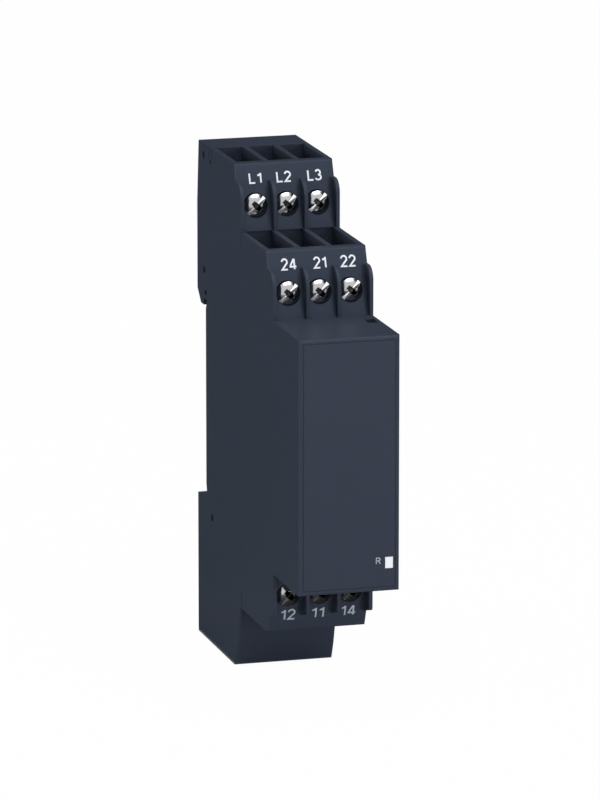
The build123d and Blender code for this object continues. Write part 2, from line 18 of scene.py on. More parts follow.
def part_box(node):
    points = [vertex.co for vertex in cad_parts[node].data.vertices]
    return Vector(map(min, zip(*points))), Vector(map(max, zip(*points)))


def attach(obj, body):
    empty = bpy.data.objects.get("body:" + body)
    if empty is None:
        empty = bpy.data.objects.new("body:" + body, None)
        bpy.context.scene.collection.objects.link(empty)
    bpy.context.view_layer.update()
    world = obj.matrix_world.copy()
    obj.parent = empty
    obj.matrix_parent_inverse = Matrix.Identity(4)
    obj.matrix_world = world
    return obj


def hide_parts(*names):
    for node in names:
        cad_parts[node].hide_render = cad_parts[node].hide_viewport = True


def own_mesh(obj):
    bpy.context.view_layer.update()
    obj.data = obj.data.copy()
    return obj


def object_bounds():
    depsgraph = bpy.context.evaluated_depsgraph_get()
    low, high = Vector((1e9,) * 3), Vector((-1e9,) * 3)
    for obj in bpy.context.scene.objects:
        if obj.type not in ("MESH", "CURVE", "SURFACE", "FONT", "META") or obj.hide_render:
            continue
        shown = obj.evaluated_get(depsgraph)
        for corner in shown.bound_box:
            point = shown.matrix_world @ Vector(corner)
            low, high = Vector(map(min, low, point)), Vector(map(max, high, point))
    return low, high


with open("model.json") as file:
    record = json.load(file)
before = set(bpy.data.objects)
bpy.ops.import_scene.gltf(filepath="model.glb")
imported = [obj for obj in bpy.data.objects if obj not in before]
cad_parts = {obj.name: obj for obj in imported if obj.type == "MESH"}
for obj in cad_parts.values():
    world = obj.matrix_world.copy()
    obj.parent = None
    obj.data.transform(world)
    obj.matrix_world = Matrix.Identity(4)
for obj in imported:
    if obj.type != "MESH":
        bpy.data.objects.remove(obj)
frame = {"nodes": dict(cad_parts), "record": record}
cad_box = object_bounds()
MM = 0.001

# %% [markdown]
# ## The camera
# The photograph was taken from far away with a long lens, so upright edges stay nearly
# parallel. Azimuth, height, distance and focal length were fitted to corners of the case.
# A small shift of the lens keeps the framing, because the object isn't quite centred.

# %% Set up the camera
CAMERA_PLACE = Vector((-0.31073, -1.13111, 0.26646))
CAMERA_AZIMUTH = radians(15.759)
CAMERA_HEIGHT = radians(12.685)
PHOTO_HEIGHT = 800
FOCAL_PIXELS = 6690.2
SHIFT_RIGHT = 0.22
SHIFT_UP = -20.1
SENSOR = 36.0

camera_data = bpy.data.cameras.new("camera")
camera_data.sensor_fit = "VERTICAL"
camera_data.sensor_height = SENSOR
camera_data.lens = FOCAL_PIXELS / PHOTO_HEIGHT * SENSOR
camera_data.shift_x = SHIFT_RIGHT / PHOTO_HEIGHT
camera_data.shift_y = SHIFT_UP / PHOTO_HEIGHT
camera = bpy.data.objects.new("camera", camera_data)
bpy.context.collection.objects.link(camera)
looks_to = Vector((
    sin(CAMERA_AZIMUTH) * cos(CAMERA_HEIGHT),
    cos(CAMERA_AZIMUTH) * cos(CAMERA_HEIGHT),
    -sin(CAMERA_HEIGHT),
))
camera_turn = looks_to.to_track_quat("-Z", "Y").to_matrix().to_4x4()
camera.matrix_world = Matrix.Translation(CAMERA_PLACE) @ camera_turn
bpy.context.scene.camera = camera
bpy.context.scene.view_settings.view_transform = "Standard"
print("lens", round(camera_data.lens, 1), "mm")

# %% [markdown]
# ## Colours and small helpers
# Colours are easiest to read as the eight-bit values that a screen shows, but shaders work
# with linear light. One helper turns the first into the second. Another puts a finished mesh
# into the scene as a piece, shades it smooth up to a sharp angle, and lets it ride on a body.

# %% Helpers for colours and pieces
SMOOTH_ANGLE = radians(32)


def linear(red, green, blue):
    """Screen values from 0 to 255 as a linear colour with alpha."""
    channels = []
    for value in (red, green, blue):
        share = value / 255
        channels.append(share / 12.92 if share <= 0.04045 else ((share + 0.055) / 1.055) ** 2.4)
    return (*channels, 1.0)


def add_piece(name, mesh, material, body, angle=SMOOTH_ANGLE):
    """Links a finished mesh as a piece with one material, riding on a body."""
    piece = bpy.data.objects.new(name, mesh)
    bpy.context.collection.objects.link(piece)
    mesh.materials.clear()
    mesh.materials.append(material)
    mesh.shade_smooth()
    mesh.set_sharp_from_angle(angle=angle)
    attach(piece, body)
    return piece


print("dark slate reads", [round(v, 3) for v in linear(52, 58, 69)[:3]])

# %% [markdown]
# ## Shader groups that several finishes share
# Moulded plastic is never quite even. Its tool leaves a fine grain, large faces vary a little
# in tone, and its edges are rounded by a few tenths of a millimetre, where they catch light.
# Sharp CAD edges lack that. The Bevel node samples the surface nearby and gives the normal of
# a rounded edge. Where it differs from the true normal there is an edge, for a painted highlight.
# Both effects are groups with named inputs, built once and reused with other values.

# %% Group for rounded edges and the mask of their painted highlight
def new_group(name, inputs, outputs):
    """Empty shader group with named sockets, as (group, input node, output node)."""
    group = bpy.data.node_groups.new(name, "ShaderNodeTree")
    for title, kind, value in inputs:
        socket = group.interface.new_socket(name=title, in_out="INPUT", socket_type=kind)
        socket.default_value = value
    for title, kind in outputs:
        group.interface.new_socket(name=title, in_out="OUTPUT", socket_type=kind)
    return group, group.nodes.new("NodeGroupInput"), group.nodes.new("NodeGroupOutput")


def math_node(tree, operation, first, second=None):
    """Math node whose inputs are sockets or plain numbers; gives its output."""
    node = tree.nodes.new("ShaderNodeMath")
    node.operation = operation
    for socket, value in zip(node.inputs, (first, second)):
        if isinstance(value, bpy.types.NodeSocket):
            tree.links.new(value, socket)
        elif value is not None:
            socket.default_value = value
    return node.outputs[0]


edge_group, edge_in, edge_out = new_group(
    "rounded_edges",
    [("Radius", "NodeSocketFloat", 0.0002), ("Gain", "NodeSocketFloat", 6.0),
     ("Patch Scale", "NodeSocketFloat", 900.0)],
    [("Mask", "NodeSocketFloat"), ("Normal", "NodeSocketVector")],
)
rounded = edge_group.nodes.new("ShaderNodeBevel")
rounded.samples = 6
edge_group.links.new(edge_in.outputs["Radius"], rounded.inputs["Radius"])
true_normal = edge_group.nodes.new("ShaderNodeNewGeometry")
facing = edge_group.nodes.new("ShaderNodeVectorMath")
facing.operation = "DOT_PRODUCT"
edge_group.links.new(rounded.outputs["Normal"], facing.inputs[0])
edge_group.links.new(true_normal.outputs["Normal"], facing.inputs[1])
turned_away = math_node(edge_group, "SUBTRACT", 1.0, facing.outputs["Value"])
patches = edge_group.nodes.new("ShaderNodeTexNoise")
patches.inputs["Detail"].default_value = 2.0
place = edge_group.nodes.new("ShaderNodeTexCoord")
edge_group.links.new(place.outputs["Object"], patches.inputs["Vector"])
edge_group.links.new(edge_in.outputs["Patch Scale"], patches.inputs["Scale"])
strong = math_node(edge_group, "MULTIPLY", turned_away, edge_in.outputs["Gain"])
uneven = math_node(edge_group, "MULTIPLY", strong, patches.outputs["Fac"])
mask = math_node(edge_group, "MINIMUM", uneven, 1.0)
edge_group.links.new(mask, edge_out.inputs["Mask"])
edge_group.links.new(rounded.outputs["Normal"], edge_out.inputs["Normal"])
print("group", edge_group.name, "with", len(edge_group.nodes), "nodes")

# %% Group for moulded grain and uneven tone
grain_group, grain_in, grain_out = new_group(
    "moulded_grain",
    [("Color", "NodeSocketColor", (0.5, 0.5, 0.5, 1)), ("Tone", "NodeSocketFloat", 0.08),
     ("Roughness", "NodeSocketFloat", 0.45), ("Uneven", "NodeSocketFloat", 0.08),
     ("Grain Scale", "NodeSocketFloat", 9000.0), ("Cloud Scale", "NodeSocketFloat", 60.0)],
    [("Color", "NodeSocketColor"), ("Roughness", "NodeSocketFloat"), ("Height", "NodeSocketFloat")],
)
where = grain_group.nodes.new("ShaderNodeTexCoord")
grain = grain_group.nodes.new("ShaderNodeTexNoise")
grain.inputs["Detail"].default_value = 3.0
grain.inputs["Roughness"].default_value = 0.6
cloud = grain_group.nodes.new("ShaderNodeTexNoise")
cloud.inputs["Detail"].default_value = 4.0
for texture, scale in ((grain, "Grain Scale"), (cloud, "Cloud Scale")):
    grain_group.links.new(where.outputs["Object"], texture.inputs["Vector"])
    grain_group.links.new(grain_in.outputs[scale], texture.inputs["Scale"])
centred = math_node(grain_group, "SUBTRACT", cloud.outputs["Fac"], 0.5)
swing = math_node(grain_group, "MULTIPLY", centred, grain_in.outputs["Tone"])
speck = math_node(grain_group, "SUBTRACT", grain.outputs["Fac"], 0.5)
speck = math_node(grain_group, "MULTIPLY", speck, grain_in.outputs["Tone"])
brighten = math_node(grain_group, "ADD", swing, speck)
brighten = math_node(grain_group, "ADD", brighten, 1.0)
toned = grain_group.nodes.new("ShaderNodeVectorMath")
toned.operation = "SCALE"
grain_group.links.new(grain_in.outputs["Color"], toned.inputs[0])
grain_group.links.new(brighten, toned.inputs["Scale"])
grain_group.links.new(toned.outputs["Vector"], grain_out.inputs["Color"])
shift = math_node(grain_group, "MULTIPLY", centred, grain_in.outputs["Uneven"])
rough = math_node(grain_group, "ADD", shift, grain_in.outputs["Roughness"])
grain_group.links.new(rough, grain_out.inputs["Roughness"])
grain_group.links.new(grain.outputs["Fac"], grain_out.inputs["Height"])
print("group", grain_group.name, "with", len(grain_group.nodes), "nodes")

# %% [markdown]
# ## Finishes
# Every finish starts from the same pair of groups, with its own colour, grain and edges.
# The edge mask mixes in a slightly lighter, smoother tone, which is a painted highlight; on the
# brass bars the edge tone is yellow worn metal. The grain drives a Bump node whose base is the
# rounded normal. What is the same all over a surface, such as how metallic it is, is written on
# the shader's own socket.

# %% Maker of finishes
def make_finish(name, color, roughness, edge_color=None, metallic=0.0, specular=0.5, coat=0.0,
                grain_depth=0.000004, grain_scale=9000.0, tone=0.08, uneven=0.08,
                edge_radius=0.0002, edge_gain=6.0):
    """Material with moulded grain and rounded edges, as (material, shader, bump node)."""
    material = bpy.data.materials.new(name)
    material.use_nodes = True
    tree = material.node_tree
    shader = tree.nodes["Principled BSDF"]
    shader.inputs["Metallic"].default_value = metallic
    shader.inputs["Specular IOR Level"].default_value = specular
    shader.inputs["Coat Weight"].default_value = coat
    body = tree.nodes.new("ShaderNodeGroup")
    body.node_tree = grain_group
    body.inputs["Color"].default_value = color
    body.inputs["Roughness"].default_value = roughness
    body.inputs["Tone"].default_value = tone
    body.inputs["Uneven"].default_value = uneven
    body.inputs["Grain Scale"].default_value = grain_scale
    edges = tree.nodes.new("ShaderNodeGroup")
    edges.node_tree = edge_group
    edges.inputs["Radius"].default_value = edge_radius
    edges.inputs["Gain"].default_value = edge_gain
    # The edge colour mixed in here is a painted highlight where it is a lighter tone of the body,
    # and worn metal on the brass bars
    mix = tree.nodes.new("ShaderNodeMix")
    mix.data_type = "RGBA"
    tree.links.new(edges.outputs["Mask"], mix.inputs["Factor"])
    tree.links.new(body.outputs["Color"], mix.inputs["A"])
    mix.inputs["B"].default_value = edge_color or color
    tree.links.new(mix.outputs["Result"], shader.inputs["Base Color"])
    tree.links.new(body.outputs["Roughness"], shader.inputs["Roughness"])
    bump = tree.nodes.new("ShaderNodeBump")
    bump.inputs["Distance"].default_value = grain_depth
    tree.links.new(body.outputs["Height"], bump.inputs["Height"])
    tree.links.new(edges.outputs["Normal"], bump.inputs["Normal"])
    tree.links.new(bump.outputs["Normal"], shader.inputs["Normal"])
    return material, shader, bump


print("every finish uses", grain_group.name, "and", edge_group.name)

# %% [markdown]
# ## Plastics
# The case is dark slate nylon with a fine matt grain, moulded in one colour all through. Its
# gloss is set low, since a glossy ray would meet the white studio and wash the colour out.
# The clip is a harder black plastic. The indicator's window is milky, so a little light
# travels inside it, and subsurface scattering shows that better than transparency would.

# %% Plastics of case, clip and indicator
# The case's lighter edge colour is a painted highlight on its rounded edges
case_plastic, _, _ = make_finish(
    "case_plastic", linear(53, 59.5, 71.5), 0.43, edge_color=linear(63, 71, 83), specular=0.07,
    tone=0.08, grain_depth=0.000004, grain_scale=7000.0, edge_radius=0.00018, edge_gain=0.9)
clip_plastic, _, _ = make_finish(
    "clip_plastic", linear(30, 31, 33), 0.38, edge_color=linear(44, 45, 48))
lens, lens_shader, _ = make_finish(
    "lens", linear(240, 242, 243), 0.22, specular=0.6, grain_depth=0.000001, tone=0.02,
    edge_radius=0.00006, edge_gain=0.5, edge_color=linear(225, 228, 230))
lens_shader.inputs["Subsurface Weight"].default_value = 0.2
lens_shader.inputs["Subsurface Scale"].default_value = 0.0008
print("plastics:", case_plastic.name, clip_plastic.name, lens.name)

# %% [markdown]
# ## Metals in the clamps and the clip
# The spring is bright drawn wire. The cages are punched from zinc-plated steel, whose
# coating is cloudy, so their tone and roughness vary more. The contact bars are tinned brass,
# and yellow metal shows where their edges are worn.

# %% Metals
# The lighter edge colours of the spring and the cages are painted highlights
spring_steel, _, _ = make_finish(
    "spring_steel", linear(178, 178, 176), 0.24, metallic=1.0, edge_color=linear(205, 205, 203),
    grain_scale=4000.0, grain_depth=0.000002, edge_radius=0.00004)
cage_steel, _, _ = make_finish(
    "cage_steel", linear(186, 187, 186), 0.30, metallic=1.0, edge_color=linear(214, 214, 212),
    grain_scale=2500.0, grain_depth=0.000005, tone=0.16, uneven=0.25, edge_radius=0.00012)
bar_brass, _, _ = make_finish(
    "bar_brass", linear(205, 200, 186), 0.28, metallic=1.0, edge_color=linear(212, 190, 132),
    grain_scale=3000.0, grain_depth=0.000003, tone=0.14, uneven=0.2, edge_radius=0.00008)
print("metals:", spring_steel.name, cage_steel.name, bar_brass.name)

# %% [markdown]
# ## Parts on the boards
# Nothing of these shows from outside, but a part that is opened or cut should look right.
# Each takes the usual colour of its kind, and a thin clear coat where it is lacquered.

# %% Finishes of the boards and their parts
# Where an edge colour is only a lighter tone of the part, it is a painted highlight
board_green, _, _ = make_finish(
    "board", linear(30, 92, 58), 0.35, edge_color=linear(150, 148, 110), tone=0.2,
    grain_scale=1500.0, grain_depth=0.000008, edge_radius=0.00010, coat=0.15)
relay_box, _, _ = make_finish(
    "relay_box", linear(222, 221, 214), 0.30, edge_color=linear(236, 235, 230), tone=0.05)
can_sleeve, _, _ = make_finish(
    "can", linear(38, 46, 66), 0.25, edge_color=linear(190, 190, 190), coat=0.3)
film_box, _, _ = make_finish(
    "film_box", linear(196, 160, 48), 0.33, edge_color=linear(214, 182, 80))
chip_black, _, _ = make_finish(
    "chip", linear(33, 33, 35), 0.52, edge_color=linear(60, 60, 62), grain_scale=12000.0)
resistor_lacquer, _, _ = make_finish(
    "resistor", linear(122, 142, 150), 0.30, edge_color=linear(170, 176, 178), coat=0.3)
print("boards:", board_green.name, relay_box.name, can_sleeve.name, film_box.name,
      chip_black.name, resistor_lacquer.name)

# %% [markdown]
# ## Bright screw metal
# The clamp screws are nickel plated. Their heads were turned, so fine rings run round the
# axis and stretch the highlights. The rings need each head's own centre. The screw's
# Geometry Nodes tree stores the distance from its axis as an attribute, and the material
# reads that, so the pattern is right wherever the screw stands.

# %% Metal of the clamp screws with turned rings
RINGS_PER_METRE = 9000.0
RING_DEPTH = 0.0000012
# The lighter edge colour of the screw metal is a painted highlight
screw_metal, screw_shader, screw_bump = make_finish(
    "screw_steel", linear(190, 190, 192), 0.16, metallic=1.0, edge_color=linear(224, 224, 225),
    grain_scale=3500.0, grain_depth=0.0000015, tone=0.10, uneven=0.10, edge_radius=0.00005,
    edge_gain=1.5)
tree = screw_metal.node_tree
from_axis = tree.nodes.new("ShaderNodeAttribute")
from_axis.attribute_name = "from_axis"
rings = math_node(tree, "MULTIPLY", from_axis.outputs["Fac"], RINGS_PER_METRE * 2 * pi)
rings = math_node(tree, "SINE", rings)
turned = tree.nodes.new("ShaderNodeBump")
turned.inputs["Distance"].default_value = RING_DEPTH
print("rings every", round(1000 / RINGS_PER_METRE, 2), "mm")

# %% [markdown]
# ## Painted shade in the screws' recess
# The middle of the recess and steep walls of the head and its slot are painted dark, as shade.
# A second attribute of the head says how far a point lies along the slot, along the cross and
# below the crown. Three comparisons multiplied give one where a point is in the recess and
# nought elsewhere. Painting a mask by hand would do too, but it wouldn't follow when the recess
# gets another size.

# %% Where the recess is
# Limits in millimetres from the axis and below the crown
RECESS_ALONG_SLOT = 0.52
RECESS_ALONG_CROSS = 1.2
RECESS_BELOW = 0.30
# The cross arm that faces the light gets a little less of the painted shade
FAR_ARM_START = 0.3
FAR_ARM_LIGHTER = 0.06
punched = tree.nodes.new("ShaderNodeAttribute")
punched.attribute_name = "punched"
axes = tree.nodes.new("ShaderNodeSeparateXYZ")
tree.links.new(punched.outputs["Vector"], axes.inputs["Vector"])
near_middle = math_node(tree, "ABSOLUTE", axes.outputs["X"])
near_middle = math_node(tree, "LESS_THAN", near_middle, RECESS_ALONG_SLOT)
in_cross = math_node(tree, "ABSOLUTE", axes.outputs["Y"])
in_cross = math_node(tree, "LESS_THAN", in_cross, RECESS_ALONG_CROSS)
below = math_node(tree, "GREATER_THAN", axes.outputs["Z"], RECESS_BELOW)
recess_shade = math_node(tree, "MULTIPLY", math_node(tree, "MULTIPLY", near_middle, in_cross), below)
far_arm = math_node(tree, "GREATER_THAN", axes.outputs["Y"], FAR_ARM_START)
far_arm = math_node(tree, "MULTIPLY", far_arm, FAR_ARM_LIGHTER)
recess_shade = math_node(tree, "SUBTRACT", recess_shade, far_arm)
print("recess starts", RECESS_BELOW, "mm below the crown")

# %% Paint shade into the recess and on steep walls, and keep the rings on the dome
# A wall is steep when its normal is far from the way the screw looks
STEEP_FACING = 0.6
STEEP_SHADE = 0.9
HEAD_BELOW = 0.02
RING_STRENGTH = 0.35
wall_facing = tree.nodes.new("ShaderNodeVectorMath")
wall_facing.operation = "DOT_PRODUCT"
wall_facing.inputs[1].default_value = (0, -1, 0)
surface = tree.nodes.new("ShaderNodeNewGeometry")
tree.links.new(surface.outputs["True Normal"], wall_facing.inputs[0])
steep = math_node(tree, "LESS_THAN", wall_facing.outputs["Value"], STEEP_FACING)
on_head = math_node(tree, "GREATER_THAN", axes.outputs["Z"], HEAD_BELOW)
wall = math_node(tree, "MULTIPLY", math_node(tree, "MULTIPLY", steep, on_head), STEEP_SHADE)
shaded = math_node(tree, "MAXIMUM", recess_shade, wall)
# Painted shade: near-black metal where the recess mask or the steep-wall mask is one
painted_shade_mix = tree.nodes.new("ShaderNodeMix")
painted_shade_mix.data_type = "RGBA"
painted_shade_mix.inputs["B"].default_value = linear(30, 29, 29)
bright_metal = screw_shader.inputs["Base Color"].links[0].from_socket
tree.links.new(shaded, painted_shade_mix.inputs["Factor"])
tree.links.new(bright_metal, painted_shade_mix.inputs["A"])
tree.links.new(painted_shade_mix.outputs["Result"], screw_shader.inputs["Base Color"])
on_dome = math_node(tree, "SUBTRACT", 1.0, below)
ring_strength = math_node(tree, "MULTIPLY", on_dome, RING_STRENGTH)
tree.links.new(ring_strength, turned.inputs["Strength"])
tree.links.new(rings, turned.inputs["Height"])
tree.links.new(screw_bump.outputs["Normal"], turned.inputs["Normal"])
tree.links.new(turned.outputs["Normal"], screw_shader.inputs["Normal"])
print("screw metal has", len(tree.nodes), "nodes")

# %% [markdown]
# ## Dress the solids
# The record names a material slot for every solid, so one table from slot to finish dresses
# them all. The case, cap, clip, cages and boards have their true shape already.

# %% Give every solid its finish
FINISHES = {
    "case_plastic": case_plastic, "clip_plastic": clip_plastic, "spring_steel": spring_steel,
    "lens": lens, "can": can_sleeve, "film_box": film_box, "chip": chip_black,
    "board": board_green, "relay_box": relay_box, "resistor": resistor_lacquer,
    "screw_steel": screw_metal, "cage_steel": cage_steel, "bar_brass": bar_brass,
}
for part in frame["record"]["subparts"]:
    node = frame["nodes"][part["node"]]
    node.data.materials.clear()
    node.data.materials.append(FINISHES[part["material_slot"]])

# %% [markdown]
# ## Screw heads
# A clamp screw takes a flat or a cross driver. Its domed head has a slot right across and a
# tapered cross in the middle. The dome is a profile spun round the axis, and the recess is
# cut with a boolean, as a punch would do it. A narrow bevel breaks the cut edges, which is
# what makes them flash. The head is made once, at the origin, looking up. Its points keep
# their place along the slot, along the cross and below the crown for the finish.

# %% Make the head's dome
first_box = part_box("clamp_screw_l1")
HEAD_RADIUS = (first_box[1][0] - first_box[0][0]) / 2
RIM = 1.0 * MM
DOME = 0.8 * MM
CROWN = RIM + DOME
DOME_STEPS = 16
SPIN_STEPS = 72


def spun_mesh(name, profile, steps):
    """Closed mesh from a profile of (radius, height) points spun round Z."""
    form = bmesh.new()
    points = [form.verts.new((r, 0, h)) for r, h in profile]
    edges = [form.edges.new(pair) for pair in zip(points, points[1:])]
    bmesh.ops.spin(form, geom=points + edges, cent=(0, 0, 0), axis=(0, 0, 1),
                   angle=2 * pi, steps=steps)
    bmesh.ops.remove_doubles(form, verts=form.verts, dist=1e-7)
    bmesh.ops.recalc_face_normals(form, faces=form.faces)
    mesh = bpy.data.meshes.new(name)
    form.to_mesh(mesh)
    form.free()
    return mesh


ball = (HEAD_RADIUS**2 + DOME**2) / (2 * DOME)
head_profile = [(0, 0), (HEAD_RADIUS * 0.97, 0), (HEAD_RADIUS, 0.06 * MM)]
for step in range(DOME_STEPS + 1):
    radius = HEAD_RADIUS * (1 - step / DOME_STEPS)
    head_profile.append((radius, CROWN - ball + sqrt(ball**2 - radius**2)))
head_mesh = spun_mesh("head_form", head_profile, SPIN_STEPS)
print("head", round(2000 * HEAD_RADIUS, 2), "mm wide,", len(head_mesh.polygons), "faces")

# %% Sizes of the slot and the cross, and helpers for the punches
SLOT_WIDTH = 0.72 * MM
SLOT_DEPTH = 0.82 * MM
CROSS_LENGTH = 2.2 * MM
CROSS_WIDTH = 0.80 * MM
CROSS_DEPTH = 1.5 * MM
CENTRE_WIDTH = 1.1 * MM
CENTRE_DEPTH = CROSS_DEPTH + 0.07 * MM


def tapered_bar(form, length, width, top, depth, taper, turn):
    """Bar whose floor is smaller than its top, turned about Z, added to a bmesh."""
    corners = []
    for height, scale in ((top, 1.0), (top - depth, taper)):
        for x, y in ((-1, -1), (1, -1), (1, 1), (-1, 1)):
            point = Vector((x * length / 2 * scale, y * width / 2 * (0.5 + scale / 2), height))
            corners.append(form.verts.new(Matrix.Rotation(turn, 3, "Z") @ point))
    low, high = corners[4:], corners[:4]
    form.faces.new(reversed(low))
    form.faces.new(high)
    for i in range(4):
        j = (i + 1) % 4
        form.faces.new((low[i], low[j], high[j], high[i]))


def solid_object(name, mesh):
    """Plain helper object in the scene, to be removed again."""
    thing = bpy.data.objects.new(name, mesh)
    bpy.context.collection.objects.link(thing)
    return thing


def applied(thing):
    """Mesh of an object with its modifiers applied; the object is removed."""
    graph = bpy.context.evaluated_depsgraph_get()
    mesh = bpy.data.meshes.new_from_object(thing.evaluated_get(graph), depsgraph=graph)
    bpy.data.objects.remove(thing)
    return mesh


print("cross", round(1000 * CROSS_DEPTH, 2), "mm deep, slot", round(1000 * SLOT_DEPTH, 2), "mm")

# %% Cut the slot and the cross, then soften the cut edges
PUNCH_ABOVE = 0.2 * MM
EDGE_BREAK = 0.05 * MM
punches = []
for name, length, width, depth, taper, turn in (
        ("slot_punch", 3 * HEAD_RADIUS, SLOT_WIDTH, SLOT_DEPTH, 1.0, pi / 4),
        ("cross_punch", CROSS_LENGTH, CROSS_WIDTH, CROSS_DEPTH, 0.6, -pi / 4),
        ("centre_punch", CENTRE_WIDTH, CENTRE_WIDTH, CENTRE_DEPTH, 0.7, pi / 4)):
    form = bmesh.new()
    tapered_bar(form, length, width, CROWN + PUNCH_ABOVE, depth + PUNCH_ABOVE, taper, turn)
    punch_mesh = bpy.data.meshes.new(name)
    form.to_mesh(punch_mesh)
    form.free()
    punches.append(solid_object(name, punch_mesh))
head = solid_object("head_form", head_mesh)
for punch in punches:
    cut = head.modifiers.new(punch.name, "BOOLEAN")
    cut.operation = "DIFFERENCE"
    cut.solver = "EXACT"
    cut.object = punch
soften = head.modifiers.new("soften", "BEVEL")
soften.width = EDGE_BREAK
soften.segments = 2
soften.limit_method = "ANGLE"
soften.angle_limit = radians(35)
head_mesh = applied(head)
for punch in punches:
    bpy.data.objects.remove(punch)
punched_at = head_mesh.attributes.new("punched", "FLOAT_VECTOR", "POINT")
for vert in head_mesh.vertices:
    x, y, height = vert.co / MM
    along_slot, along_cross = (x + y) / sqrt(2), (x - y) / sqrt(2)
    punched_at.data[vert.index].vector = (along_slot, along_cross, CROWN / MM - height)
print("punched head has", len(head_mesh.polygons), "faces")

# %% [markdown]
# ## Threads and nine screws
# A thread is a ridge wound on a helix, so it follows a rule and suits Geometry Nodes. The
# tree takes the head's mesh, adds a core and a triangular ridge swept along a spiral, stores
# the distance from the axis, turns the screw to look forwards and moves it to its place.
# Its sizes are named inputs. Each of the nine screws is a body of its own, so the tree runs
# nine times with another place, and every result becomes a plain mesh.

# %% Inputs of the screw's tree, and two helpers
screw_tree = bpy.data.node_groups.new("clamp_screw", "GeometryNodeTree")
screw_tree.is_modifier = True
face = screw_tree.interface
face.new_socket(name="Geometry", in_out="INPUT", socket_type="NodeSocketGeometry")
for title, kind, value in (
        ("Place", "NodeSocketVector", (0, 0, 0)), ("Length", "NodeSocketFloat", 9.4 * MM),
        ("Outer Radius", "NodeSocketFloat", 1.47 * MM), ("Ridge", "NodeSocketFloat", 0.26 * MM),
        ("Pitch", "NodeSocketFloat", 0.5 * MM), ("Finish", "NodeSocketMaterial", None)):
    socket = face.new_socket(name=title, in_out="INPUT", socket_type=kind)
    if value is not None:
        socket.default_value = value
face.new_socket(name="Geometry", in_out="OUTPUT", socket_type="NodeSocketGeometry")


def geo(tree, kind, **values):
    """Node of a geometry tree with some properties set."""
    node = tree.nodes.new(kind)
    for key, value in values.items():
        setattr(node, key, value)
    return node


def wire(tree, output, node, title):
    """Link from an output to the named input of a node."""
    tree.links.new(output, node.inputs[title])


print("the screw's tree has", len(face.items_tree), "sockets")

# %% Ridge on a spiral round a core
gate = screw_tree.nodes.new("NodeGroupInput")
result = screw_tree.nodes.new("NodeGroupOutput")
turns = math_node(screw_tree, "DIVIDE", gate.outputs["Length"], gate.outputs["Pitch"])
core_radius = math_node(screw_tree, "SUBTRACT", gate.outputs["Outer Radius"], gate.outputs["Ridge"])
spiral = geo(screw_tree, "GeometryNodeCurveSpiral")
spiral.inputs["Resolution"].default_value = 30
wire(screw_tree, turns, spiral, "Rotations")
wire(screw_tree, core_radius, spiral, "Start Radius")
wire(screw_tree, core_radius, spiral, "End Radius")
wire(screw_tree, gate.outputs["Length"], spiral, "Height")
tooth = geo(screw_tree, "GeometryNodeCurvePrimitiveCircle", mode="RADIUS")
tooth.inputs["Resolution"].default_value = 3
wire(screw_tree, gate.outputs["Ridge"], tooth, "Radius")
ridge = geo(screw_tree, "GeometryNodeCurveToMesh")
ridge.inputs["Fill Caps"].default_value = True
wire(screw_tree, spiral.outputs["Curve"], ridge, "Curve")
wire(screw_tree, tooth.outputs["Curve"], ridge, "Profile Curve")
core = geo(screw_tree, "GeometryNodeMeshCylinder")
core.inputs["Vertices"].default_value = 40
wire(screw_tree, core_radius, core, "Radius")
wire(screw_tree, gate.outputs["Length"], core, "Depth")
half_length = math_node(screw_tree, "MULTIPLY", gate.outputs["Length"], 0.5)
middle = geo(screw_tree, "ShaderNodeCombineXYZ")
wire(screw_tree, half_length, middle, "Z")
raised = geo(screw_tree, "GeometryNodeTransform")
wire(screw_tree, core.outputs["Mesh"], raised, "Geometry")
wire(screw_tree, middle.outputs["Vector"], raised, "Translation")
shank = geo(screw_tree, "GeometryNodeJoinGeometry")
wire(screw_tree, ridge.outputs["Mesh"], shank, "Geometry")
wire(screw_tree, raised.outputs["Geometry"], shank, "Geometry")
print("shank made by", len(screw_tree.nodes), "nodes")

# %% Join the head, store the distance from the axis and put the screw in its place
below = geo(screw_tree, "ShaderNodeCombineXYZ")
wire(screw_tree, math_node(screw_tree, "MULTIPLY", gate.outputs["Length"], -1.0), below, "Z")
lowered = geo(screw_tree, "GeometryNodeTransform")
wire(screw_tree, shank.outputs["Geometry"], lowered, "Geometry")
wire(screw_tree, below.outputs["Vector"], lowered, "Translation")
whole = geo(screw_tree, "GeometryNodeJoinGeometry")
wire(screw_tree, lowered.outputs["Geometry"], whole, "Geometry")
wire(screw_tree, gate.outputs["Geometry"], whole, "Geometry")
position = geo(screw_tree, "GeometryNodeInputPosition")
flat = geo(screw_tree, "ShaderNodeVectorMath", operation="MULTIPLY")
flat.inputs[1].default_value = (1, 1, 0)
screw_tree.links.new(position.outputs["Position"], flat.inputs[0])
distance = geo(screw_tree, "ShaderNodeVectorMath", operation="LENGTH")
screw_tree.links.new(flat.outputs["Vector"], distance.inputs[0])
store = geo(screw_tree, "GeometryNodeStoreNamedAttribute", data_type="FLOAT", domain="POINT")
store.inputs["Name"].default_value = "from_axis"
wire(screw_tree, whole.outputs["Geometry"], store, "Geometry")
wire(screw_tree, distance.outputs["Value"], store, "Value")
placed = geo(screw_tree, "GeometryNodeTransform")
placed.inputs["Rotation"].default_value = (pi / 2, 0, 0)
wire(screw_tree, store.outputs["Geometry"], placed, "Geometry")
wire(screw_tree, gate.outputs["Place"], placed, "Translation")
real = geo(screw_tree, "GeometryNodeRealizeInstances")
wire(screw_tree, placed.outputs["Geometry"], real, "Geometry")
paint = geo(screw_tree, "GeometryNodeSetMaterial")
wire(screw_tree, real.outputs["Geometry"], paint, "Geometry")
wire(screw_tree, gate.outputs["Finish"], paint, "Material")
wire(screw_tree, paint.outputs["Geometry"], result, "Geometry")
